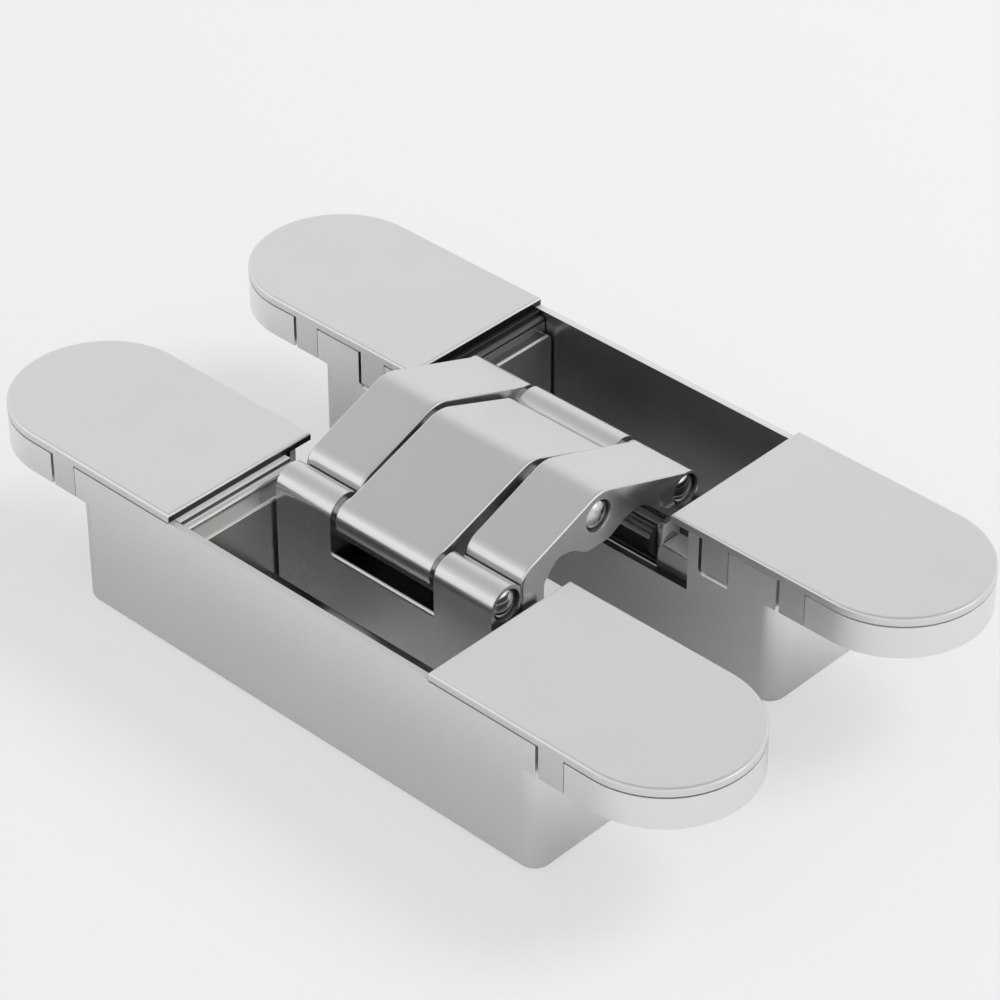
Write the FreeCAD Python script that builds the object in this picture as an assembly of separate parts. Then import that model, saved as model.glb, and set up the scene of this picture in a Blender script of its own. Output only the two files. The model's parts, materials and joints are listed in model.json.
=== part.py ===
"""Concealed 180 degree door hinge, shown fully open and lying on its two pocket floors.

X runs along the hinge, Y across it from the near half (-Y) to the far half (+Y), Z up.
The origin is the centre of the rectangle that the hinge stands on. Two die-cast halves are
joined by a crossing-arm linkage of seven pivots: a pair of outer arms turns in the near half
and a middle arm in the far half, they cross on the centre pin, and the free end of each is
steered by a short link that swings deep in the other half.
"""
import FreeCAD, Part
import math
import os
from FreeCAD import Vector

# Driving dimensions, millimetres
PLATE_WIDTH = 30.0          # stadium face plate, across
PLATE_REACH = 25.4          # face plate past the pocket box, at each end
HALF_GAP = 22.4             # clear space between the two halves when open
TOTAL_DEPTH = 26.0          # cover cap top to pocket floor underside
CAP_THICK = 1.4             # cover cap plate above the rim
FLANGE_THICK = 5.9          # face plate casting under the caps
BOX_CORNER = 3.0            # vertical corner radius of the pocket box
WALL = 1.2                  # long walls of the pocket
END_WALL = 1.6              # end walls of the pocket
FLOOR = 1.5                 # pocket floor
NOTCH_LAP = 1.0             # how far the carriage cheeks stand behind the notch's ends
NOTCH_DEPTH = 11.1          # cut-out in the wall that faces the other half, below the rim
SEAM_HEIGHT = 0.3           # shadow gap under a cap's edge
SEAM_DEPTH = 0.8
EDGE_ROUND = 0.5            # rounding of the cap's upper edge
FOOT_ROUND = 0.9            # rounding round the pocket box's underside
ROOT_ROUND = 1.6            # concave fillet between face plate and box end
SEAT_GAP = 0.1              # a clipped or laid piece to its seat

# Cover caps: side tabs, which stand in slots of the face plate's edge
CAP_PAST_STACK = 4.6        # inner edge of a cap beyond the linkage
TAB_PAST_BOX = 0.4          # inner edge of an end tab beyond the pocket box
TAB_LENGTH = 4.8
TAB_THICK = 1.1
TAB_PLAY = 0.6              # room in a slot on the tab's left, every cap is pushed to the right
CLIP_PAST_EDGE = 6.3        # inner edge of the clip tab beyond the cap's inner edge
CLIP_LENGTH = 5.2
CLIP_DROP = 6.0             # how far the clip tab reaches below the rim
CLIP_SLIT = 0.25            # open slit under the clip tab
PRISE_HEIGHT = 0.6          # bevel below the slit, where a blade prises the cap off
PRISE_DEPTH = 0.9

# Fixing holes for countersunk screws, under the caps
FIXING_FROM_BOX = 6.4       # first hole beyond the pocket box
FIXING_FROM_END = 8.0       # second hole from the plate's end
FIXING_RADIUS = 2.4
FIXING_HEAD_RADIUS = 4.6
FIXING_HEAD_DEPTH = 2.4

# Pivots of the near half: distance from the middle line, and height against the cap tops
KNUCKLE_Y = 19.86           # visible pin of the link's knuckles
KNUCKLE_DROP = 2.38
ARM_PIVOT_Y = 14.5          # hidden pin of the arm's leg
ARM_PIVOT_DROP = 8.4
LINK_PIVOT_Y = 19.4         # hidden pin of the link
LINK_PIVOT_DROP = 13.8
CENTRE_RISE = 3.32          # pin where the arms cross, above the cap tops

# Linkage stack along X
STACK_HALF = 22.8           # outer faces of the arms and link
MIDDLE_HALF = 9.85          # half width of the middle arm
ARM_GAP = 1.1               # middle arm to the outer arms and the near link's knuckles

# Pins, bores and washers
MAIN_PIN_RADIUS = 2.25
ARM_PIN_RADIUS = 1.6
LINK_PIN_RADIUS = 1.4
RUNNING_GAP = 0.05          # radial, between a pin and the bore that turns on it
PIN_DOME = 0.7              # rise of a pin's domed end
RING_RADIUS = 2.75          # recess round a pin's end
RING_DEPTH = 0.6
WASHER_RADIUS = 3.1
BUSH_CLEAR = 0.05

# Arms
EYE_RADIUS = 3.2            # arm end round the knuckle pin
LEG_EYE_RADIUS = 3.0        # arm leg round its hidden pin
LEG_OUTER_Y = 16.75         # leg face towards the outer wall
LEG_INNER_Y = 11.9          # leg face towards the gap
RIDGE_Y = 0.6               # crest of the arm's roof, past the middle line
RIDGE_RISE = 7.85           # crest above the cap tops, before rounding
RIDGE_ROUND = 6.0
SHOULDER_RISE = 1.15        # roof height at the leg's outer face, above the cap tops
SHOULDER_ROUND = 3.6
ARM_EDGE = 0.45             # rounding of the arm's long upper edges

# Links
LINK_EYE_RADIUS = 3.4
LINK_EYE_FLAT = 2.85        # flat on the knuckle, facing the arm's leg
LINK_THICK = 4.0            # swinging plate
LINK_BOTTOM_DROP = 19.6     # plate's lower edge below the cap tops
LINK_TOE_ROUND = 0.8        # rounding of that edge
WINDOW_DROP = 8.5           # lower edge of the window between the knuckles
SILL_ROUND = 0.6            # rounding of that edge
LINK_BOSS_ABOVE = 3.0       # boss round the link's pivot slot
LINK_BOSS_BELOW = 2.8
LINK_BOSS_BACK = 3.4
SLOT_OUT = 1.65             # travel of the pin in the slot, towards the outer wall
SLOT_IN = 1.07              # and towards the gap
SLOT_UP = 0.53
SLOT_DOWN = 0.22

# Carriage that holds the linkage in the pocket: thin side plates on thick stepped cheeks
WASHER_SPACE = 0.6          # linkage to the side plates
CHEEK_PLATE = 1.2           # side plate that carries the pins
CHEEK_BLOCK = 7.4           # cheek behind it
CHEEK_DROP = 4.5            # top of the cheeks below the cap tops
LEDGE_DROP = 8.0            # ledge on the cheek's gap side, below the cap tops
LEDGE_DEPTH = 4.1           # ledge's width in Y
CHEEK_EDGE_ROUND = 0.5      # rounding of the side plate's upright edge on the gap side
STEP_PAST_STACK = 2.4       # step on the cheek beyond the linkage
STEP_DROP = 2.2             # step's top below the cap tops
STEP_ROUND = 0.8
SILL_PAST_STACK = 3.5       # sill on that step, close under the cap's inner edge
SILL_GAP = 0.1              # sill to the cap's underside
CARRIAGE_SIDE_GAP = 0.2
CARRIAGE_BASE_THICK = 1.8
CARRIAGE_LIFT = 0.1         # carriage base above the pocket floor
FOOT_LENGTH = 12.0          # shoulder of the carriage under the cap
FOOT_END_GAP = 3.0          # shoulder to the pocket's end wall
FOOT_TOP_DROP = 16.0
FOOT_MARGIN = 1.6

# Clamp plates, clamp screws and eccentric adjusters under the caps, side by side on the shoulders
CLAMP_INSET = 0.5           # clamp plate inside the shoulder's ends
CLAMP_WIDTH = 9.6
CLAMP_THICK = 3.0
CLAMP_BEVEL = 0.6
CLAMP_FROM_EDGE = 6.0       # clamp screw from the shoulder's edge on the gap side
CLAMP_SCREW_RADIUS = 1.9
SCREW_HEAD_RADIUS = 3.3
SCREW_HEAD_HEIGHT = 3.2
SCREW_HEAD_BEVEL = 0.4
HEX_RADIUS = 1.7
HEX_DEPTH = 1.8
BOSS_RADIUS = 3.3           # threaded boss on the pocket floor
BOSS_SLOT_TRAVEL = 1.0      # adjusting travel left round the boss
ADJUSTER_FROM_EDGE = 4.8    # adjuster from the shoulder's outer edge
ADJUSTER_RADIUS = 2.6
ADJUSTER_COLLAR = 0.7       # collar beyond the adjuster's radius
ADJUSTER_COLLAR_THICK = 1.2
ADJUSTER_BEVEL = 0.5
ADJUSTER_TOP_DROP = 7.0

# Values worked out from the driving dimensions
TOP = TOTAL_DEPTH
RIM = TOP - CAP_THICK
FLANGE_UNDER = RIM - FLANGE_THICK
INNER_Y = HALF_GAP / 2.0
OUTER_Y = INNER_Y + PLATE_WIDTH
MID_Y = INNER_Y + PLATE_WIDTH / 2.0
END_RADIUS = PLATE_WIDTH / 2.0
SIDE_INNER = MIDDLE_HALF + ARM_GAP
STEP_X = STACK_HALF + STEP_PAST_STACK
SILL_X = STACK_HALF + SILL_PAST_STACK
CHEEK_INNER = STACK_HALF + WASHER_SPACE
PLATE_OUTER = CHEEK_INNER + CHEEK_PLATE
CHEEK_OUTER = PLATE_OUTER + CHEEK_BLOCK
NOTCH_END = CHEEK_OUTER - NOTCH_LAP
FOOT_END = CHEEK_OUTER + FOOT_LENGTH
FOOT_X = CHEEK_OUTER + FOOT_LENGTH / 2.0
BOX_END = FOOT_END + FOOT_END_GAP + END_WALL
PLATE_END = BOX_END + PLATE_REACH
CAP_INNER_X = STACK_HALF + CAP_PAST_STACK
TAB_X = BOX_END + TAB_PAST_BOX
CLIP_X = CAP_INNER_X + CLIP_PAST_EDGE
FIXING_X = (BOX_END + FIXING_FROM_BOX, PLATE_END - FIXING_FROM_END)
CARRIAGE_OUTER_Y = OUTER_Y - WALL - CARRIAGE_SIDE_GAP
CARRIAGE_INNER_Y = INNER_Y + WALL + CARRIAGE_SIDE_GAP
CLAMP_Y = CARRIAGE_INNER_Y + FOOT_MARGIN + CLAMP_FROM_EDGE
ADJUSTER_Y = CARRIAGE_OUTER_Y - FOOT_MARGIN - ADJUSTER_FROM_EDGE
NOTCH_FLOOR = RIM - NOTCH_DEPTH
KNUCKLE = (-KNUCKLE_Y, TOP - KNUCKLE_DROP)
ARM_PIVOT = (-ARM_PIVOT_Y, TOP - ARM_PIVOT_DROP)
LINK_PIVOT = (-LINK_PIVOT_Y, TOP - LINK_PIVOT_DROP)
CENTRE = (0.0, TOP + CENTRE_RISE)
LINK_FRONT = KNUCKLE_Y + LINK_EYE_RADIUS
FOOT_TOP = TOP - FOOT_TOP_DROP
BASE_UNDER = FLOOR + CARRIAGE_LIFT


def box(x0, x1, y0, y1, z0, z1):
    """Block between two corners."""
    return Part.makeBox(x1 - x0, y1 - y0, z1 - z0, Vector(x0, y0, z0))


def rod(x0, x1, centre, radius):
    """Round bar along X about a point of the Y-Z plane."""
    return Part.makeCylinder(radius, x1 - x0, Vector(x0, centre[0], centre[1]), Vector(1, 0, 0))


def post(x, y, z0, z1, radius):
    """Round bar along Z."""
    return Part.makeCylinder(radius, z1 - z0, Vector(x, y, z0), Vector(0, 0, 1))


def mirror_y(shape):
    """The same piece in the other half."""
    return shape.mirror(Vector(0, 0, 0), Vector(0, 1, 0))


def mirror_x(shape):
    """The same piece at the other end."""
    return shape.mirror(Vector(0, 0, 0), Vector(1, 0, 0))


def fuse(first, *others):
    """One solid from touching pieces, with the joint lines removed."""
    return first.multiFuse(list(others)).removeSplitter()


def rounded_wire(corners):
    """Closed wire in the Y-Z plane through (y, z, radius) corners, each rounded by its radius."""
    edges = []
    ends = []
    count = len(corners)
    for i in range(count):
        y, z, radius = corners[i]
        corner = Vector(0, y, z)
        before = Vector(0, corners[i - 1][0], corners[i - 1][1])
        after = Vector(0, corners[(i + 1) % count][0], corners[(i + 1) % count][1])
        if radius <= 0:
            ends.append((corner, corner, None))
            continue
        to_before = (before - corner).normalize()
        to_after = (after - corner).normalize()
        half = to_before.getAngle(to_after) / 2.0
        reach = radius / math.tan(half)
        bisector = (to_before + to_after).normalize()
        centre = corner + bisector * (radius / math.sin(half))
        ends.append((corner + to_before * reach, corner + to_after * reach, centre - bisector * radius))
    for i in range(count):
        start, finish, middle = ends[i]
        if middle is not None:
            edges.append(Part.Arc(start, middle, finish).toShape())
        following = ends[(i + 1) % count][0]
        if (following - finish).Length > 1e-6:
            edges.append(Part.LineSegment(finish, following).toShape())
    return Part.Wire(edges)


def bar(corners, x0, x1):
    """Rounded Y-Z outline extruded along X."""
    shape = Part.Face(rounded_wire(corners)).extrude(Vector(x1 - x0, 0, 0))
    shape.translate(Vector(x0, 0, 0))
    return shape


def stadium(end, radius, z0, z1):
    """Slot-shaped plate about the near half's middle line, from -end to end."""
    straight = end - radius
    y0, y1 = -MID_Y - radius, -MID_Y + radius
    edges = [
        Part.LineSegment(Vector(-straight, y0, z0), Vector(straight, y0, z0)).toShape(),
        Part.Arc(Vector(straight, y0, z0), Vector(straight + radius, -MID_Y, z0),
                 Vector(straight, y1, z0)).toShape(),
        Part.LineSegment(Vector(straight, y1, z0), Vector(-straight, y1, z0)).toShape(),
        Part.Arc(Vector(-straight, y1, z0), Vector(-straight - radius, -MID_Y, z0),
                 Vector(-straight, y0, z0)).toShape(),
    ]
    return Part.Face(Part.Wire(edges)).extrude(Vector(0, 0, z1 - z0))


def upright_block(half_x, y0, y1, z0, z1, corner):
    """Block with rounded vertical corners, centred on X."""
    block = box(-half_x, half_x, y0, y1, z0, z1)
    uprights = [e for e in block.Edges if abs(e.Vertexes[0].Z - e.Vertexes[1].Z) > (z1 - z0) / 2.0]
    return block.makeFillet(corner, uprights)


def edges_at_height(shape, z):
    """Edges that lie flat at one height."""
    return edges_at_height_of(shape.Edges, z)


def edges_at_height_of(edges, z):
    """Those of some edges that lie flat at one height."""
    return [e for e in edges if abs(e.BoundBox.ZMin - z) < 1e-4 and abs(e.BoundBox.ZMax - z) < 1e-4]


def edges_at_x(shape, x):
    """Edges that lie in one X plane."""
    return [e for e in shape.Edges if abs(e.BoundBox.XMin - x) < 1e-4 and abs(e.BoundBox.XMax - x) < 1e-4]


def tangent_point(point, centre, radius, side):
    """Where a line from a point of the Y-Z plane touches a circle; side +1 or -1."""
    dy, dz = centre[0] - point[0], centre[1] - point[1]
    distance = math.hypot(dy, dz)
    swing = math.asin(radius / distance)
    reach = math.sqrt(distance ** 2 - radius ** 2)
    heading = math.atan2(dz, dy) + side * swing
    return point[0] + reach * math.cos(heading), point[1] + reach * math.sin(heading)


def domed_pin(centre, half_length, radius):
    """Pin along X whose two ends are low domes."""
    flat = half_length - PIN_DOME
    bulge = (radius ** 2 + PIN_DOME ** 2) / (2.0 * PIN_DOME)
    angle = math.asin(radius / bulge) / 2.0
    middle_x = half_length - bulge + bulge * math.cos(angle)
    middle_r = bulge * math.sin(angle)
    outline = [
        Part.Arc(Vector(-half_length, 0, 0), Vector(-middle_x, 0, middle_r),
                 Vector(-flat, 0, radius)).toShape(),
        Part.LineSegment(Vector(-flat, 0, radius), Vector(flat, 0, radius)).toShape(),
        Part.Arc(Vector(flat, 0, radius), Vector(middle_x, 0, middle_r),
                 Vector(half_length, 0, 0)).toShape(),
        Part.LineSegment(Vector(half_length, 0, 0), Vector(-half_length, 0, 0)).toShape(),
    ]
    solid = Part.Face(Part.Wire(outline)).revolve(Vector(0, 0, 0), Vector(1, 0, 0), 360)
    solid.translate(Vector(0, centre[0], centre[1]))
    return solid


def washer(x0, x1, centre, bore):
    """Plain bearing washer on a hidden pin."""
    return rod(x0, x1, centre, WASHER_RADIUS).cut(rod(x0, x1, centre, bore + BUSH_CLEAR))


def housing():
    """Near half's die-cast face plate and pocket box, one casting."""
    plate = stadium(PLATE_END, END_RADIUS, FLANGE_UNDER, RIM)
    ledge = stadium(PLATE_END, END_RADIUS, RIM - SEAM_HEIGHT, RIM).cut(
        stadium(PLATE_END - SEAM_DEPTH, END_RADIUS - SEAM_DEPTH, RIM - SEAM_HEIGHT, RIM))
    for side in (-1, 1):
        x0, x1 = sorted((side * CAP_INNER_X, side * (PLATE_END + 1.0)))
        plate = plate.cut(ledge.common(box(x0, x1, -OUTER_Y - 1.0, 0.0, RIM - SEAM_HEIGHT, RIM)))
    deep = upright_block(BOX_END, -OUTER_Y, -INNER_Y, 0.0, FLANGE_UNDER, BOX_CORNER)
    deep = deep.makeFillet(FOOT_ROUND, edges_at_height(deep, 0.0))
    roots = []
    for side in (-1, 1):
        x = side * BOX_END
        y0, y1 = -OUTER_Y + BOX_CORNER, -INNER_Y - BOX_CORNER
        web = box(min(x, x + side * ROOT_ROUND), max(x, x + side * ROOT_ROUND), y0, y1,
                  FLANGE_UNDER - ROOT_ROUND, FLANGE_UNDER)
        hollow = Part.makeCylinder(ROOT_ROUND, y1 - y0,
                                   Vector(x + side * ROOT_ROUND, y0, FLANGE_UNDER - ROOT_ROUND), Vector(0, 1, 0))
        roots.append(web.cut(hollow))
    body = fuse(plate, deep, *roots)
    pocket = upright_block(BOX_END - END_WALL, -OUTER_Y + WALL, -INNER_Y - WALL, FLOOR, RIM + 1.0, 1.5)
    notch = box(-NOTCH_END, NOTCH_END, -INNER_Y - 2.0 * WALL, -INNER_Y + 1.0, NOTCH_FLOOR, RIM + 1.0)
    body = body.cut(pocket).cut(notch)
    for side in (-1, 1):
        for x in FIXING_X:
            hole = post(side * x, -MID_Y, FLANGE_UNDER - 1.0, RIM + 1.0, FIXING_RADIUS)
            sink = Part.makeCone(FIXING_RADIUS, FIXING_HEAD_RADIUS, FIXING_HEAD_DEPTH,
                                 Vector(side * x, -MID_Y, RIM - FIXING_HEAD_DEPTH), Vector(0, 0, 1))
            body = body.cut(hole).cut(sink)
        boss = post(side * FOOT_X, -CLAMP_Y, FLOOR - 0.5, FOOT_TOP - SEAT_GAP, BOSS_RADIUS)
        bore = post(side * FOOT_X, -CLAMP_Y, FLOOR, FOOT_TOP + 1.0, CLAMP_SCREW_RADIUS + RUNNING_GAP)
        body = body.fuse(boss).cut(bore)
        for slot in tab_slots(side):
            body = body.cut(slot)
    return body.removeSplitter()


def tab_slots(side):
    """Slots in the near half's edge at one end (-1 left, 1 right), where the cover cap's tabs stand."""
    skin = TAB_THICK + SEAT_GAP
    x0, x1 = sorted((side * TAB_X, side * (TAB_X + TAB_LENGTH)))
    slots = [box(x0 - TAB_PLAY, x1 + SEAT_GAP, y0, y0 + skin, FLANGE_UNDER, RIM + 1.0)
             for y0 in (-OUTER_Y, -INNER_Y - skin)]
    x0, x1 = sorted((side * CLIP_X, side * (CLIP_X + CLIP_LENGTH)))
    slit = RIM - CLIP_DROP - CLIP_SLIT
    slots.append(box(x0 - TAB_PLAY, x1 + SEAT_GAP, -INNER_Y - skin, -INNER_Y, slit, RIM + 1.0))
    bevel = [(-INNER_Y - PRISE_DEPTH, slit, 0.0), (-INNER_Y, slit, 0.0), (-INNER_Y, slit - PRISE_HEIGHT, 0.0)]
    slots.append(bar(bevel, x0, x1))
    return slots


def cover_cap():
    """Pressed cover of the near half's right end, with two end tabs and one clip tab."""
    plate = stadium(PLATE_END, END_RADIUS, RIM, TOP)
    plate = plate.common(box(CAP_INNER_X, PLATE_END + 1.0, -OUTER_Y - 1.0, 0.0, RIM, TOP))
    plate = plate.makeFillet(EDGE_ROUND, edges_at_height(plate, TOP))
    tabs = [box(TAB_X, TAB_X + TAB_LENGTH, y0, y0 + TAB_THICK, FLANGE_UNDER, RIM)
            for y0 in (-OUTER_Y, -INNER_Y - TAB_THICK)]
    tabs.append(box(CLIP_X, CLIP_X + CLIP_LENGTH, -INNER_Y - TAB_THICK, -INNER_Y, RIM - CLIP_DROP, RIM))
    return fuse(plate, *tabs)


def carriage():
    """Near half's cradle: side plates and stepped cheeks on a base, with shoulders that the clamps press down.

    Two steps rise on each cheek to close the space under the cap's inner edge.
    """
    y0, y1 = -CARRIAGE_OUTER_Y, -CARRIAGE_INNER_Y
    cheek_top = TOP - CHEEK_DROP
    ledge = TOP - LEDGE_DROP
    plate_outline = [(y0, BASE_UNDER, 1.0), (y0, cheek_top, 1.5), (y1, cheek_top, 0.8), (y1, BASE_UNDER, 0.5)]
    block_outline = [(y0, BASE_UNDER, 1.0), (y0, cheek_top, 1.5), (y1 - LEDGE_DEPTH, cheek_top, 0.6),
                     (y1 - LEDGE_DEPTH, ledge, 0.0), (y1, ledge, 0.3), (y1, BASE_UNDER, 0.5)]
    base = box(-CHEEK_INNER - 1.0, CHEEK_INNER + 1.0, y0 + 1.0, y1 - 1.0, BASE_UNDER,
               BASE_UNDER + CARRIAGE_BASE_THICK)
    pieces = []
    for side in (-1, 1):
        x0, x1 = sorted((side * PLATE_OUTER, side * CHEEK_OUTER))
        pieces.append(bar(block_outline, x0, x1))
        x0, x1 = sorted((side * CHEEK_INNER, side * PLATE_OUTER))
        plate = bar(plate_outline, x0, x1)
        upright = [e for e in edges_at_x(plate, side * CHEEK_INNER)
                   if abs(e.BoundBox.YMin - y1) < 1e-4 and abs(e.BoundBox.YMax - y1) < 1e-4]
        pieces.append(plate.makeFillet(CHEEK_EDGE_ROUND, upright))
        for start, top, edge in ((STEP_X, TOP - STEP_DROP, STEP_ROUND), (SILL_X, RIM - SILL_GAP, 0.0)):
            x0, x1 = sorted((side * start, side * CHEEK_OUTER))
            step = box(x0, x1, y0, y1 - LEDGE_DEPTH, cheek_top - 2.0, top)
            if edge:
                step = step.makeFillet(edge, edges_at_height_of(edges_at_x(step, side * start), top))
            pieces.append(step)
        x0, x1 = sorted((side * (CHEEK_OUTER - 1.0), side * FOOT_END))
        pieces.append(box(x0, x1, y0 + FOOT_MARGIN, y1 - FOOT_MARGIN, BASE_UNDER, FOOT_TOP))
    body = fuse(base, *pieces)
    for side in (-1, 1):
        x = side * FOOT_X
        for offset in (-BOSS_SLOT_TRAVEL, BOSS_SLOT_TRAVEL):
            body = body.cut(post(x + offset, -CLAMP_Y, 0.0, FOOT_TOP + 1.0, BOSS_RADIUS + SEAT_GAP))
        body = body.cut(box(x - BOSS_SLOT_TRAVEL, x + BOSS_SLOT_TRAVEL, -CLAMP_Y - BOSS_RADIUS - SEAT_GAP,
                            -CLAMP_Y + BOSS_RADIUS + SEAT_GAP, 0.0, FOOT_TOP + 1.0))
        body = body.cut(post(x, -ADJUSTER_Y, 0.0, FOOT_TOP + 1.0, ADJUSTER_RADIUS + RUNNING_GAP))
    body = body.cut(rod(-PLATE_OUTER, PLATE_OUTER, ARM_PIVOT, ARM_PIN_RADIUS + RUNNING_GAP))
    body = body.cut(rod(-CHEEK_OUTER, CHEEK_OUTER, LINK_PIVOT, LINK_PIN_RADIUS + RUNNING_GAP))
    return body.removeSplitter()


def hex_socket(x, y, top):
    """Hexagon recess for the key."""
    points = [Vector(x + HEX_RADIUS * math.cos(math.radians(60 * i)),
                     y + HEX_RADIUS * math.sin(math.radians(60 * i)), top - HEX_DEPTH) for i in range(7)]
    return Part.Face(Part.makePolygon(points)).extrude(Vector(0, 0, HEX_DEPTH + 1.0))


def clamp():
    """Right clamp plate of the near half, over the carriage's shoulder."""
    z0, z1 = FOOT_TOP, FOOT_TOP + CLAMP_THICK
    plate = box(CHEEK_OUTER + CLAMP_INSET, FOOT_END - CLAMP_INSET, -CLAMP_Y - CLAMP_WIDTH / 2.0,
                -CLAMP_Y + CLAMP_WIDTH / 2.0, z0, z1)
    plate = plate.makeChamfer(CLAMP_BEVEL, edges_at_height(plate, z1))
    return plate.cut(post(FOOT_X, -CLAMP_Y, z0 - 1.0, z1 + 1.0, CLAMP_SCREW_RADIUS + SEAT_GAP))


def clamp_screw():
    """Socket head screw that holds the right clamp plate of the near half."""
    seat = FOOT_TOP + CLAMP_THICK
    top = seat + SCREW_HEAD_HEIGHT
    head = post(FOOT_X, -CLAMP_Y, seat, top, SCREW_HEAD_RADIUS)
    head = head.makeChamfer(SCREW_HEAD_BEVEL, edges_at_height(head, top))
    shank = post(FOOT_X, -CLAMP_Y, FLOOR + 1.0, seat, CLAMP_SCREW_RADIUS)
    return fuse(head, shank).cut(hex_socket(FOOT_X, -CLAMP_Y, top))


def adjuster():
    """Right height adjuster of the near half, a turned eccentric in the carriage's shoulder."""
    top = TOP - ADJUSTER_TOP_DROP
    body = post(FOOT_X, -ADJUSTER_Y, FLOOR, top, ADJUSTER_RADIUS)
    body = body.makeChamfer(ADJUSTER_BEVEL, edges_at_height(body, top))
    collar = post(FOOT_X, -ADJUSTER_Y, FOOT_TOP, FOOT_TOP + ADJUSTER_COLLAR_THICK,
                  ADJUSTER_RADIUS + ADJUSTER_COLLAR)
    return fuse(body, collar).cut(hex_socket(FOOT_X, -ADJUSTER_Y, top))


def arm_outline():
    """Arm with its leg in the near half and its eye in the far half, seen along X."""
    eye = (KNUCKLE_Y, KNUCKLE[1])
    crest = (RIDGE_Y, TOP + RIDGE_RISE)
    touch = tangent_point(crest, eye, EYE_RADIUS, 1)
    below = (eye[0] - EYE_RADIUS * 0.45, eye[1] - EYE_RADIUS * 0.85)
    return [
        (-LEG_OUTER_Y, ARM_PIVOT[1], 0.0),
        (-LEG_OUTER_Y, TOP + SHOULDER_RISE, SHOULDER_ROUND),
        (crest[0], crest[1], RIDGE_ROUND),
        (touch[0], touch[1], 0.0),
        (eye[0], eye[1], 0.0),
        (below[0], below[1], 0.0),
        (13.9, TOP - 2.6, 2.0),
        (9.4, TOP + 0.55, 3.0),
        (5.6, TOP - 0.35, 3.0),
        (2.6, TOP - 2.1, 3.5),
        (-2.6, TOP - 2.1, 3.5),
        (-5.4, TOP - 0.15, 3.0),
        (-9.0, TOP + 0.5, 2.5),
        (-LEG_INNER_Y, TOP - 2.9, 1.5),
        (-LEG_INNER_Y, ARM_PIVOT[1], 0.0),
    ]


def arm(x0, x1):
    """Blank of an arm between two X faces: leg, roof and eye, not yet bored."""
    body = bar(arm_outline(), x0, x1)
    upper = [e for e in body.Edges
             if abs(e.BoundBox.XMax - e.BoundBox.XMin) < 1e-6 and e.BoundBox.ZMax > KNUCKLE[1] + EYE_RADIUS]
    body = body.makeFillet(ARM_EDGE, upper)
    leg_eye = rod(x0, x1, ARM_PIVOT, LEG_EYE_RADIUS)
    eye = rod(x0, x1, (KNUCKLE_Y, KNUCKLE[1]), EYE_RADIUS)
    body = fuse(body, leg_eye, eye)
    return body


def outer_arm():
    """Right outer arm: leg on the near half, eye on the far knuckle pin."""
    body = arm(SIDE_INNER, STACK_HALF)
    far_knuckle = (KNUCKLE_Y, KNUCKLE[1])
    for centre in (CENTRE, far_knuckle):
        body = body.cut(rod(0.0, STACK_HALF + 1.0, centre, MAIN_PIN_RADIUS + RUNNING_GAP))
        body = body.cut(rod(STACK_HALF - RING_DEPTH, STACK_HALF + 1.0, centre, RING_RADIUS))
    return body.cut(rod(0.0, STACK_HALF + 1.0, ARM_PIVOT, ARM_PIN_RADIUS + RUNNING_GAP))


def middle_arm():
    """Middle arm: leg on the far half, eye on the near knuckle pin."""
    body = arm(-MIDDLE_HALF, MIDDLE_HALF)
    far_knuckle = (KNUCKLE_Y, KNUCKLE[1])
    for centre in (CENTRE, far_knuckle):
        body = body.cut(rod(-STACK_HALF, STACK_HALF, centre, MAIN_PIN_RADIUS + RUNNING_GAP))
    body = body.cut(rod(-STACK_HALF, STACK_HALF, ARM_PIVOT, ARM_PIN_RADIUS + RUNNING_GAP))
    return mirror_y(body)


def link_plate(z0, z1, x0, x1):
    """Part of the near link's swinging plate."""
    front = -LINK_FRONT
    return box(x0, x1, front, front + LINK_THICK, z0, z1)


def link_eye(x0, x1):
    """Knuckle of the near link with a flat towards the arm's leg."""
    eye = rod(x0, x1, KNUCKLE, LINK_EYE_RADIUS)
    waste = box(x0 - 1.0, x1 + 1.0, KNUCKLE[0] + LINK_EYE_FLAT, 0.0, 0.0, 2.0 * TOP)
    return eye.cut(waste)


def link_boss(x0, x1):
    """Thick foot of the near link, round the slotted pivot."""
    back = LINK_PIVOT[0] + LINK_BOSS_BACK
    z0, z1 = LINK_PIVOT[1] - LINK_BOSS_BELOW, LINK_PIVOT[1] + LINK_BOSS_ABOVE
    front = -LINK_FRONT
    outline = [(front, z0, 0.5), (front, z1 + 1.2, 0.0), (front + LINK_THICK, z1 + 1.2, 0.0),
               (front + LINK_THICK + 1.0, z1, 0.5), (back, z1, 2.0), (back, z0, 2.4)]
    return bar(outline, x0, x1)


def link_slot(x0, x1):
    """Slotted bore of the near link, with room for the pin's travel."""
    reach = LINK_PIN_RADIUS + RUNNING_GAP
    y, z = LINK_PIVOT
    y0, y1 = y - SLOT_OUT - reach, y + SLOT_IN + reach
    z0, z1 = z - SLOT_DOWN - reach, z + SLOT_UP + reach
    outline = [(y0, z0, reach), (y0, z1, reach), (y1, z1, reach), (y1, z0, reach)]
    return bar(outline, x0, x1)


def link_apron():
    """Lower part of the near link's swinging plate, with a rounded toe and a rounded sill."""
    bottom, sill = TOP - LINK_BOTTOM_DROP, TOP - WINDOW_DROP
    body = link_plate(bottom, sill, -STACK_HALF, STACK_HALF)
    body = body.makeFillet(LINK_TOE_ROUND, [e for e in edges_at_height(body, bottom) if e.Length > STACK_HALF])
    return body.makeFillet(SILL_ROUND, [e for e in edges_at_height(body, sill)
                                        if e.Length > STACK_HALF and e.BoundBox.YMax < -LINK_FRONT + 0.1])


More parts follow.
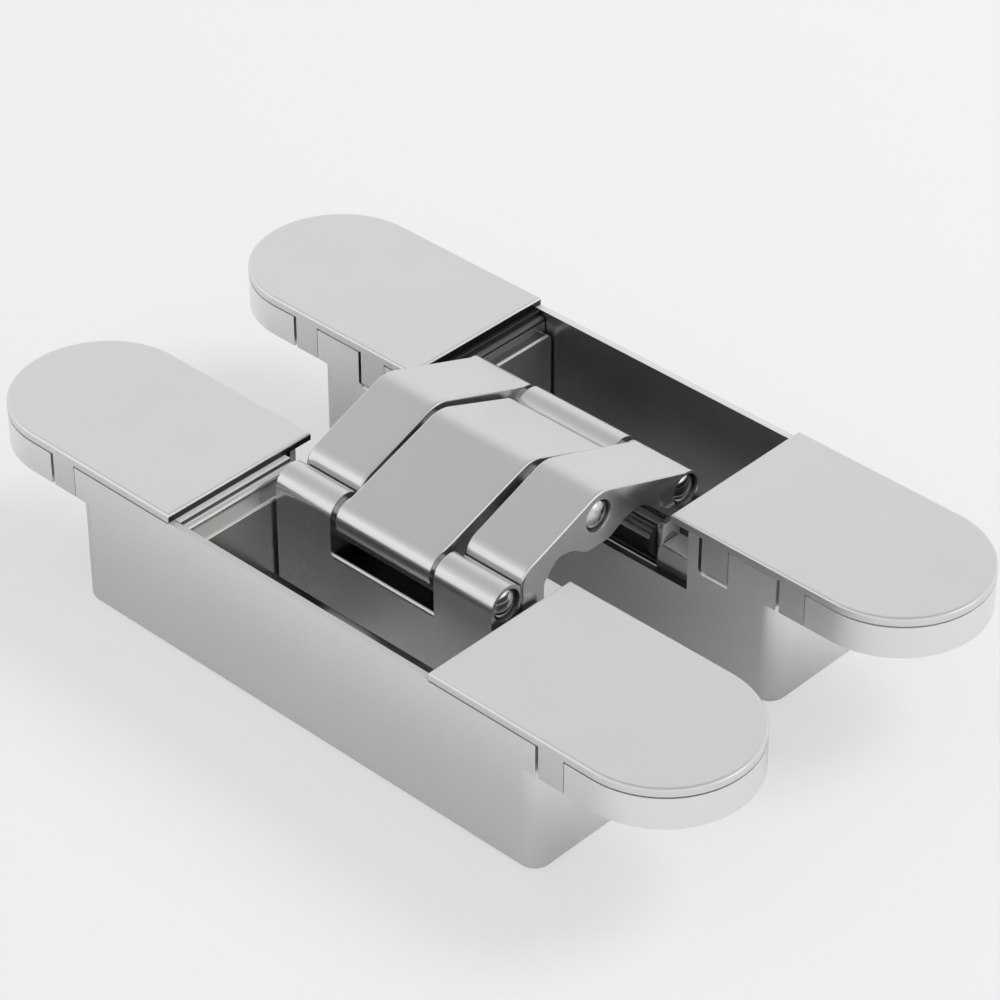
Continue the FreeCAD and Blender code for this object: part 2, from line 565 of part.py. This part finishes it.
def near_link():
    """Swinging link of the near half: two knuckles, a window between them, a central boss."""
    sill = TOP - WINDOW_DROP
    body = link_apron()
    parts = [link_boss(-MIDDLE_HALF, MIDDLE_HALF)]
    for side in (-1, 1):
        x0, x1 = sorted((side * SIDE_INNER, side * STACK_HALF))
        parts.append(link_plate(sill - 1.0, KNUCKLE[1], x0, x1))
        parts.append(link_eye(x0, x1))
    body = fuse(body, *parts)
    body = body.cut(link_slot(-STACK_HALF, STACK_HALF))
    body = body.cut(rod(-STACK_HALF - 1.0, STACK_HALF + 1.0, KNUCKLE, MAIN_PIN_RADIUS + RUNNING_GAP))
    for side in (-1, 1):
        x0, x1 = sorted((side * (STACK_HALF - RING_DEPTH), side * (STACK_HALF + 1.0)))
        body = body.cut(rod(x0, x1, KNUCKLE, RING_RADIUS))
    return body


def far_link():
    """Swinging link of the far half: one central knuckle, two side bosses."""
    sill = TOP - WINDOW_DROP
    body = link_apron()
    parts = [link_plate(sill - 1.0, KNUCKLE[1], -MIDDLE_HALF, MIDDLE_HALF), link_eye(-MIDDLE_HALF, MIDDLE_HALF)]
    for side in (-1, 1):
        x0, x1 = sorted((side * SIDE_INNER, side * STACK_HALF))
        parts.append(link_boss(x0, x1))
    body = fuse(body, *parts)
    body = body.cut(link_slot(-STACK_HALF - 1.0, STACK_HALF + 1.0))
    body = body.cut(rod(-STACK_HALF, STACK_HALF, KNUCKLE, MAIN_PIN_RADIUS + RUNNING_GAP))
    return mirror_y(body)


def pin_set():
    """All pins by node name."""
    plate_far, cheek_far = PLATE_OUTER - SEAT_GAP, CHEEK_OUTER - SEAT_GAP
    stub = rod(SIDE_INNER, plate_far, ARM_PIVOT, ARM_PIN_RADIUS)
    through = rod(-plate_far, plate_far, ARM_PIVOT, ARM_PIN_RADIUS)
    steering = rod(-cheek_far, cheek_far, LINK_PIVOT, LINK_PIN_RADIUS)
    visible_half = STACK_HALF - RING_DEPTH + PIN_DOME
    return {
        "centre_pin": domed_pin(CENTRE, visible_half, MAIN_PIN_RADIUS),
        "near_knuckle_pin": domed_pin(KNUCKLE, visible_half, MAIN_PIN_RADIUS),
        "far_knuckle_pin": domed_pin((KNUCKLE_Y, KNUCKLE[1]), visible_half, MAIN_PIN_RADIUS),
        "near_arm_pin_right": stub,
        "near_arm_pin_left": mirror_x(stub),
        "far_arm_pin": mirror_y(through),
        "near_link_pin": steering,
        "far_link_pin": mirror_y(steering),
    }


def washer_set():
    """Bearing washers between the linkage and the carriage cheeks, by node name."""
    x0, x1 = STACK_HALF + BUSH_CLEAR, CHEEK_INNER - BUSH_CLEAR
    arm_washer = washer(x0, x1, ARM_PIVOT, ARM_PIN_RADIUS)
    link_washer = washer(x0, x1, LINK_PIVOT, LINK_PIN_RADIUS)
    parts = {}
    for name, piece in (("arm_washer", arm_washer), ("link_washer", link_washer)):
        parts["near_" + name + "_right"] = piece
        parts["near_" + name + "_left"] = mirror_x(piece)
        parts["far_" + name + "_right"] = mirror_y(piece)
        parts["far_" + name + "_left"] = mirror_y(mirror_x(piece))
    return parts


def model():
    """Every piece by node name."""
    parts = {}
    for name, piece in (("housing", housing()), ("carriage", carriage())):
        parts["near_" + name] = piece
        parts["far_" + name] = mirror_y(piece)
    for name, piece in (("cap", cover_cap()), ("clamp", clamp()), ("clamp_screw", clamp_screw()),
                        ("adjuster", adjuster())):
        parts["near_" + name + "_right"] = piece
        parts["near_" + name + "_left"] = mirror_x(piece)
        parts["far_" + name + "_right"] = mirror_y(piece)
        parts["far_" + name + "_left"] = mirror_y(mirror_x(piece))
    right_arm = outer_arm()
    parts["outer_arm_right"] = right_arm
    parts["outer_arm_left"] = mirror_x(right_arm)
    parts["middle_arm"] = middle_arm()
    parts["near_link"] = near_link()
    parts["far_link"] = far_link()
    parts.update(pin_set())
    parts.update(washer_set())
    return parts


os.makedirs("parts", exist_ok=True)
for node, shape in model().items():
    shape.exportStep("parts/" + node + ".step")
    print(node, len(shape.Solids), round(shape.Volume, 1), shape.isValid())
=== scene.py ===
import json
import math

import bmesh
import bpy
from mathutils import Matrix, Vector

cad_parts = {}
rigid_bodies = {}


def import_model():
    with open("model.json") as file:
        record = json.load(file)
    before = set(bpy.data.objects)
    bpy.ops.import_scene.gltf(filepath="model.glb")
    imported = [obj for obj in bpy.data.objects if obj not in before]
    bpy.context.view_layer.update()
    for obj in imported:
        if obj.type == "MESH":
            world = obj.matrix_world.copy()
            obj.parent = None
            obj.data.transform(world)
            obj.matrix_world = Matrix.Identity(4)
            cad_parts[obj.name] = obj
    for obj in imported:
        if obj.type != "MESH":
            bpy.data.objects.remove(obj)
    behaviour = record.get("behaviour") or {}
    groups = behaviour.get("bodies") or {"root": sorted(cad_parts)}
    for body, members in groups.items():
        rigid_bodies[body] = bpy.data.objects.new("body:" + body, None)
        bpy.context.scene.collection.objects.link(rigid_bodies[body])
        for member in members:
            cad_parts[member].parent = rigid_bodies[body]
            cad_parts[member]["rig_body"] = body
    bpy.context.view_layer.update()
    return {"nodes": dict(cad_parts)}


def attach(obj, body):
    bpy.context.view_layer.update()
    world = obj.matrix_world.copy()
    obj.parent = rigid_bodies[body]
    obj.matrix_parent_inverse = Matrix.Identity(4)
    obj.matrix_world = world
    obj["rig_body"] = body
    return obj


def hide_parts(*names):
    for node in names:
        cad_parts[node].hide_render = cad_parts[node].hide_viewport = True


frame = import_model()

# Camera: a long lens looking down over the right-hand end of the near half.
# Its place was worked out from the outline of the face plates in the photograph.
MM = 0.001
CAMERA_AZIMUTH = 43.577
CAMERA_ELEVATION = 36.291
CAMERA_ROLL = -0.142
CAMERA_DISTANCE = 596.4 * MM
CAMERA_TARGET = Vector((6.224, -3.905, 26.0)) * MM
CAMERA_LENS = 141.65

azimuth, elevation = math.radians(CAMERA_AZIMUTH), math.radians(CAMERA_ELEVATION)
back = Vector((math.sin(azimuth) * math.cos(elevation), -math.cos(azimuth) * math.cos(elevation),
               math.sin(elevation)))
right = (-back).cross(Vector((0, 0, 1))).normalized()
facing = Matrix((right, right.cross(-back), back)).transposed().to_4x4()
camera_data = bpy.data.cameras.new("camera")
camera_data.lens = CAMERA_LENS
camera_data.sensor_width = 36.0
camera_data.clip_start = 0.01
camera_data.clip_end = 20.0
camera = bpy.data.objects.new("camera", camera_data)
camera.matrix_world = (Matrix.Translation(CAMERA_TARGET + back * CAMERA_DISTANCE) @ facing
                       @ Matrix.Rotation(math.radians(CAMERA_ROLL), 4, "Z"))
bpy.context.scene.collection.objects.link(camera)
bpy.context.scene.camera = camera


# Floor: one seamless sheet of matt pale card that the hinge lies on.
# Part of its paleness towards the lens is its own, which keeps its shadows soft there.
# The metal mirrors only the card as it is lit.
def linear(hex_colour):
    """An sRGB hex colour as the linear RGBA that a shader socket takes."""
    channels = [int(hex_colour[i:i + 2], 16) / 255.0 for i in (1, 3, 5)]
    return [c / 12.92 if c <= 0.04045 else ((c + 0.055) / 1.055) ** 2.4 for c in channels] + [1.0]


def add(tree, kind, settings=None, links=None):
    """One shader node, with settings for its attributes and sockets, and links from other nodes' outputs."""
    node = tree.nodes.new(kind)
    for key, value in (settings or {}).items():
        if isinstance(key, str) and hasattr(node, key):
            setattr(node, key, value)
        else:
            node.inputs[key].default_value = value
    for key, output in (links or {}).items():
        tree.links.new(output, node.inputs[key])
    return node


FLOOR_HALF = 3.0
FLOOR_COLOUR = "#DEDEDE"
OWN_COLOUR = "#EEEEEE"
OWN_SHARE = 0.6
floor_mesh = bpy.data.meshes.new("floor")
shape = bmesh.new()
bmesh.ops.create_grid(shape, x_segments=1, y_segments=1, size=FLOOR_HALF)
shape.to_mesh(floor_mesh)
shape.free()
floor = bpy.data.objects.new("floor", floor_mesh)
bpy.context.scene.collection.objects.link(floor)
card = bpy.data.materials.new("matt_card")
card.use_nodes = True
tree = card.node_tree
tree.nodes.clear()
ray = add(tree, "ShaderNodeLightPath")
share = add(tree, "ShaderNodeMath", {"operation": "MULTIPLY", 1: OWN_SHARE},
            {0: ray.outputs["Is Camera Ray"]})
lit = add(tree, "ShaderNodeBsdfDiffuse", {"Color": linear(FLOOR_COLOUR)})
own = add(tree, "ShaderNodeEmission", {"Color": linear(OWN_COLOUR), "Strength": 1.0})
mixed = add(tree, "ShaderNodeMixShader", {}, {0: share.outputs[0], 1: lit.outputs[0], 2: own.outputs[0]})
add(tree, "ShaderNodeOutputMaterial", links={"Surface": mixed.outputs[0]})
floor.data.materials.append(card)

# Room: pale all round and a little dimmer overhead, which sets the arms' near slopes off from the caps.
# The fade is measured by the height of a direction, from 0 at the horizon to 1 straight up.
ROOM_COLOUR = "#FFFFFF"
ROOM_SIDES = 1.0
ROOM_OVERHEAD = 0.62
ROOM_FADE = (0.55, 0.9)
world = bpy.data.worlds.new("room")
bpy.context.scene.world = world
world.use_nodes = True
tree = world.node_tree
tree.nodes.clear()
towards = add(tree, "ShaderNodeTexCoord")
height = add(tree, "ShaderNodeSeparateXYZ", links={"Vector": towards.outputs["Generated"]})
fade = add(tree, "ShaderNodeMapRange", {"interpolation_type": "SMOOTHSTEP", "From Min": ROOM_FADE[0],
                                        "From Max": ROOM_FADE[1], "To Min": ROOM_SIDES,
                                        "To Max": ROOM_OVERHEAD}, {"Value": height.outputs["Z"]})
glow = add(tree, "ShaderNodeBackground", {"Color": linear(ROOM_COLOUR)},
           {"Strength": fade.outputs["Result"]})
add(tree, "ShaderNodeOutputWorld", links={"Surface": glow.outputs[0]})
bpy.context.scene.view_settings.view_transform = "Standard"


# Lamps: square softboxes. A low one at the front left draws the bright bands along rounded edges, and one at
# the right lifts the faces that look along the hinge. The high one at the back, which the metal doesn't
# mirror, lays the soft shadow in front of the hinge and between its halves.
def softbox(name, place, side, brightness, mirrored=True):
    """A square soft lamp that shines at the hinge, its brightness measured against the room's."""
    data = bpy.data.lights.new(name, "AREA")
    data.shape = "SQUARE"
    data.size = side
    data.energy = brightness * math.pi * side * side
    lamp = bpy.data.objects.new(name, data)
    lamp.location = place
    lamp.rotation_mode = "QUATERNION"
    lamp.rotation_quaternion = Vector(place).to_track_quat("Z", "Y")
    lamp.visible_glossy = mirrored
    bpy.context.scene.collection.objects.link(lamp)


softbox("front_left_softbox", place=(-0.95, -0.85, 0.38), side=0.9, brightness=0.25)
softbox("right_softbox", place=(0.95, 0.45, 0.3), side=0.5, brightness=0.6)
softbox("back_softbox", place=(0.65, 1.1, 1.25), side=0.8, brightness=9.6, mirrored=False)


# Housings: each half's face plate and pocket box, one zinc die casting, tumbled and then nickel plated.
# Faces deep in the pockets and the pockets' inner walls are coloured darker, as painted shade. The ledges
# that the caps lie on are blasted before plating.
PATCH_MM = 12.0
RELIEF_MM = 0.01
NOISE_DETAIL = 3.0
GRAIN_ROUGHNESS = 0.6
NOISE_LOW, NOISE_HIGH = 0.3, 0.7


def surface(name, colour, roughness, spread, grain_mm, relief, metallic=1.0):
    """A finish with fine grain in its relief, and a gloss that wanders slowly by the spread either way.

    The real grain of such finishes is a few hundredths of a millimetre. It is drawn coarser, to show.
    """
    material = bpy.data.materials.new(name)
    material.use_nodes = True
    tree = material.node_tree
    tree.nodes.clear()
    place = add(tree, "ShaderNodeTexCoord")
    grain = add(tree, "ShaderNodeTexNoise", {"Scale": 1.0 / (grain_mm * MM), "Detail": NOISE_DETAIL,
                                             "Roughness": GRAIN_ROUGHNESS},
                {"Vector": place.outputs["Object"]})
    patches = add(tree, "ShaderNodeTexNoise", {"Scale": 1.0 / (PATCH_MM * MM), "Detail": NOISE_DETAIL},
                  {"Vector": place.outputs["Object"]})
    gloss = add(tree, "ShaderNodeMapRange", {"clamp": False, "From Min": NOISE_LOW, "From Max": NOISE_HIGH,
                                             "To Min": roughness - spread, "To Max": roughness + spread},
                {"Value": patches.outputs["Fac"]})
    bumps = add(tree, "ShaderNodeBump", {"Strength": relief, "Distance": RELIEF_MM * MM},
                {"Height": grain.outputs["Fac"]})
    shader = add(tree, "ShaderNodeBsdfPrincipled", {"Base Color": linear(colour), "Metallic": metallic},
                 {"Roughness": gloss.outputs["Result"], "Normal": bumps.outputs["Normal"]})
    add(tree, "ShaderNodeOutputMaterial", links={"Surface": shader.outputs[0]})
    return material


MERGE_MM = 0.0005
FLAT_ANGLE = 0.5
CREASE_ANGLE = 28.0
ROUNDED_ANGLE = 30.0
ROUND_STEPS = 3


def dressed(node, material, edge_mm, *recesses):
    """A copy of a CAD node with merged flat faces and its sharp edges softened by a small round.

    Each recess is a material and a test, which picks its flat faces by their centre in mm and direction.
    """
    mesh = bpy.data.meshes.new(node + "_dressed")
    shape = bmesh.new()
    shape.from_mesh(frame["nodes"][node].data)
    bmesh.ops.remove_doubles(shape, verts=shape.verts, dist=MERGE_MM * MM)
    bmesh.ops.dissolve_limit(shape, angle_limit=math.radians(FLAT_ANGLE), verts=shape.verts,
                             edges=shape.edges)
    for face in shape.faces:
        face.smooth = True
        face.material_index = next((i for i, (_, inside) in enumerate(recesses, 1)
                                    if inside(face.calc_center_median() / MM, face.normal)), 0)
    for edge in shape.edges:
        edge.smooth = len(edge.link_faces) != 2 or edge.calc_face_angle(0.0) < math.radians(CREASE_ANGLE)
    shape.to_mesh(mesh)
    shape.free()
    for finish in (material, *(recess for recess, _ in recesses)):
        mesh.materials.append(finish)
    piece = bpy.data.objects.new(node + "_dressed", mesh)
    bpy.context.scene.collection.objects.link(piece)
    soften = piece.modifiers.new("edge", "BEVEL")
    soften.width = edge_mm * MM
    soften.segments = ROUND_STEPS
    soften.material = 0
    soften.limit_method = "ANGLE"
    soften.angle_limit = math.radians(ROUNDED_ANGLE)
    soften.use_clamp_overlap = True
    evened = piece.modifiers.new("normals", "WEIGHTED_NORMAL")
    evened.keep_sharp = True
    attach(piece, frame["nodes"][node].get("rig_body"))
    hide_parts(node)
    return piece


SQUARE_ON = 0.99
POCKET_HALF = 48.0
SILL_TOP = 14.0
FAR_WALL_BACK = 20.0
BACK_WALL_FRONT = 35.0
NEAR_WALL_BACK = -20.0
LEDGE_HEIGHTS = (23.5, 25.0)


def within(value, limits):
    """Whether a size lies between two limits."""
    return limits[0] < value < limits[1]


def deep_in_pocket(centre, direction):
    """The pocket floors, the notch sills and the far pocket's wall that looks to the back."""
    return abs(centre.x) < POCKET_HALF and (
        direction.z > SQUARE_ON and centre.z < SILL_TOP
        or direction.y > SQUARE_ON and within(centre.y, (0.0, FAR_WALL_BACK)))


def pocket_wall(centre, direction):
    """The inner walls that look to the front."""
    return direction.y < -SQUARE_ON and (
        centre.y > BACK_WALL_FRONT or within(centre.y, (NEAR_WALL_BACK, 0.0)))


def cap_ledge(centre, direction):
    """The level ledges under the caps, and the plates' rims between the caps."""
    return direction.z > SQUARE_ON and within(centre.z, LEDGE_HEIGHTS)


HOUSING_EDGE = 0.15
# Satin: the grain spreads reflections, so flat faces look even and pale, not mirror bright.
housing_nickel = surface("satin_nickel_on_zinc_casting", "#E4E4E4", roughness=0.315, spread=0.025,
                         grain_mm=0.4, relief=0.2)
# Painted shade: a dark grey for faces deep in the pockets, so the pocket's bottom looks nearly black.
painted_shade_grey = surface("grey_painted_shade_on_nickel", "#5E5E5F", roughness=0.33, spread=0.03,
                    grain_mm=0.25, relief=0.3)
# Painted shade: the pocket's inner walls are coloured a deeper grey than the outside.
inner_wall_painted_shade = surface("pocket_nickel_with_painted_shade", "#A5A4A6", roughness=0.33, spread=0.03,
                        grain_mm=0.5, relief=0.25)
# Blasted ledges scatter light evenly, which keeps the seams round the caps soft. The near ones are coloured
# darker, as painted shade.
near_ledge_painted_shade = surface("blasted_nickel_with_painted_shade", "#B2B2B2", roughness=0.4, spread=0.04,
                            grain_mm=0.3, relief=0.3, metallic=0.3)
far_ledge_nickel = surface("blasted_pale_nickel", "#D0D0D0", roughness=0.4, spread=0.04,
                           grain_mm=0.3, relief=0.3, metallic=0.3)
for half, ledge_nickel in (("near", near_ledge_painted_shade), ("far", far_ledge_nickel)):
    dressed(half + "_housing", housing_nickel, HOUSING_EDGE, (painted_shade_grey, deep_in_pocket),
            (inner_wall_painted_shade, pocket_wall), (ledge_nickel, cap_ledge))

# Cover caps: pressed steel plates with side tabs, clipped on over the fixing screws and nickel plated.
# The cut inner edge lies in the shade of the steps below it, and that shade is painted on it in a dark
# colour.
HALVES = ("near", "far")
ENDS = ("left", "right")
CAP_INNER_END = 28.0
PLATE_LOW = 20.0
CAP_EDGE = 0.12


def at_the_cut_edge(centre, direction):
    """A cap's straight inner edge."""
    return abs(direction.x) > SQUARE_ON and abs(centre.x) < CAP_INNER_END


def underside(centre, direction):
    """A cap's lower face."""
    return direction.z < -SQUARE_ON and centre.z > PLATE_LOW


# Blasted finer than the castings before plating, so the caps show the most even grey of all.
cap_nickel = surface("fine_blasted_satin_nickel_cap", "#D8D8D8", roughness=0.32, spread=0.025,
                     grain_mm=0.3, relief=0.2)
# Painted shade: nickel coloured nearly black for faces deep in shade, with a glossy finish.
painted_shade_dark = surface("dark_painted_shade_on_nickel", "#3A3937", roughness=0.23, spread=0.03, grain_mm=0.2, relief=0.2)
# Left matt by blasting, so it catches light from above and mirrors little.
pale_nickel = surface("matt_pale_nickel", "#DEDEDE", roughness=0.4, spread=0.04,
                      grain_mm=0.3, relief=0.3, metallic=0.3)
for half in HALVES:
    for end in ENDS:
        dressed("%s_cap_%s" % (half, end), cap_nickel, CAP_EDGE,
                (painted_shade_dark, at_the_cut_edge), (pale_nickel, underside))

# Carriages: cast zinc cradles that hold the linkage in the pockets, clamped down on the pocket floors.
# The near riser under a cap's inner edge, and the far steps with their ledge, are coloured dark grey as
# painted shade.
# The near steps' level treads and the block in the notch are blasted matt and pale.
RISER_PLACE = (26.0, 26.6)
RISER_FOOT = 23.0
STEPS_START = 25.0
STEPS_FOOT = 21.4
FOOT_LEDGE_HEIGHTS = (21.0, 22.0)
TREAD_LOW = 23.6
BLOCK_TOP_HEIGHTS = (17.6, 18.4)
BLOCK_SIDE_PLACE = (24.4, 24.8)
CARRIAGE_EDGE = 0.25


def near_riser(centre, direction):
    """The riser between the two steps."""
    return abs(direction.x) > SQUARE_ON and within(abs(centre.x), RISER_PLACE) and centre.z > RISER_FOOT


def far_steps(centre, direction):
    """Both steps with their rounds, and the ledge at their foot."""
    return (abs(centre.x) > STEPS_START and centre.z > STEPS_FOOT
            or direction.z > SQUARE_ON and within(centre.z, FOOT_LEDGE_HEIGHTS))


def pale_tread(centre, direction):
    """The steps' level treads, and the notch block's top and side."""
    return (direction.z > SQUARE_ON and (centre.z > TREAD_LOW or within(centre.z, BLOCK_TOP_HEIGHTS))
            or abs(direction.x) > SQUARE_ON and within(abs(centre.x), BLOCK_SIDE_PLACE))


# The bright nickel of the plating bath reflects the arms and the pocket round the carriages.
carriage_nickel = surface("bright_nickel_on_zinc_casting", "#C8C7C5", roughness=0.22, spread=0.03,
                          grain_mm=0.4, relief=0.15, metallic=0.9)
for half, dark_face in (("near", near_riser), ("far", far_steps)):
    dressed(half + "_carriage", carriage_nickel, CARRIAGE_EDGE,
            (painted_shade_grey, dark_face), (pale_nickel, pale_tread))

# Arms: three crossing zinc castings with a roof-shaped back, which turn on the centre pin.
# The ring groove round each pin end is coloured dark, as painted shade.
PIN_CENTRES = ((0.0, 29.32), (-19.86, 23.62), (19.86, 23.62))
RING_REACH = 2.9
GROOVE_PLACE = (21.0, 22.5)
ARM_EDGE = 0.18


def in_a_ring_groove(centre, direction):
    """The grooves' floors, which face along the pins."""
    return abs(direction.x) > SQUARE_ON and within(abs(centre.x), GROOVE_PLACE) and any(
        math.hypot(centre.y - y, centre.z - z) < RING_REACH for y, z in PIN_CENTRES)


# The castings' satin nickel, rubbed smoother by handling, so its rounds show clearer bright and dark bands.
arm_nickel = surface("satin_nickel_arm_casting", "#CECECF", roughness=0.235, spread=0.025,
                     grain_mm=0.4, relief=0.2, metallic=0.95)
for node in ("outer_arm_left", "outer_arm_right", "middle_arm"):
    dressed(node, arm_nickel, ARM_EDGE, (painted_shade_dark, in_a_ring_groove))

# Links: swinging plates with knuckles, which steer the free ends of the arms deep in the pockets.
# They are cast and plated as the arms are. Their ring grooves, the near link's sill and the far link's
# shoulders are coloured dark, as painted shade.
LINK_SILL_TOP = 20.0


def level_or_in_a_groove(centre, direction):
    """The ring grooves, the sill under the near link's window and the far link's shoulders."""
    return in_a_ring_groove(centre, direction) or direction.z > SQUARE_ON and centre.z < LINK_SILL_TOP


for node in ("near_link", "far_link"):
    dressed(node, arm_nickel, ARM_EDGE, (painted_shade_dark, level_or_in_a_groove))

# Pins: ground steel rods on which the arms and links turn, the visible ones with low domed ends.
# They turn in their bores with a hair of play.
PIN_EDGE = 0.08
# Grinding and polishing leave them the brightest metal here, with a sharp dark and light reflection.
pin_steel = surface("ground_and_polished_steel", "#CBCAC7", roughness=0.14, spread=0.03,
                    grain_mm=0.3, relief=0.1)
for node in ("centre_pin", "near_knuckle_pin", "far_knuckle_pin", "near_arm_pin_left", "near_arm_pin_right",
             "far_arm_pin", "near_link_pin", "far_link_pin"):
    dressed(node, pin_steel, PIN_EDGE)

# Bearing washers: moulded acetal rings on the hidden pins, between the linkage and the carriages.
# They keep metal from rubbing on metal.
WASHER_EDGE = 0.08
# Acetal is a dull black with a faint waxy sheen.
washer_acetal = surface("black_acetal", "#1A1A1A", roughness=0.45, spread=0.05,
                        grain_mm=0.2, relief=0.2, metallic=0.0)
for half in HALVES:
    for pivot in ("arm", "link"):
        for end in ENDS:
            dressed("%s_%s_washer_%s" % (half, pivot, end), washer_acetal, WASHER_EDGE)

# Clamps and adjusters: stamped plates with socket screws that lock the carriages, and turned eccentrics that
# set their height. All are steel and zinc plated.
FASTENER_EDGE = 0.12
# Clear zinc looks slightly blue and is a duller grey than the nickel.
fastener_zinc = surface("clear_zinc_plated_steel", "#B4B8BC", roughness=0.34, spread=0.06,
                        grain_mm=0.2, relief=0.3)
for half in HALVES:
    for end in ENDS:
        for kind in ("clamp", "clamp_screw", "adjuster"):
            dressed("%s_%s_%s" % (half, kind, end), fastener_zinc, FASTENER_EDGE)
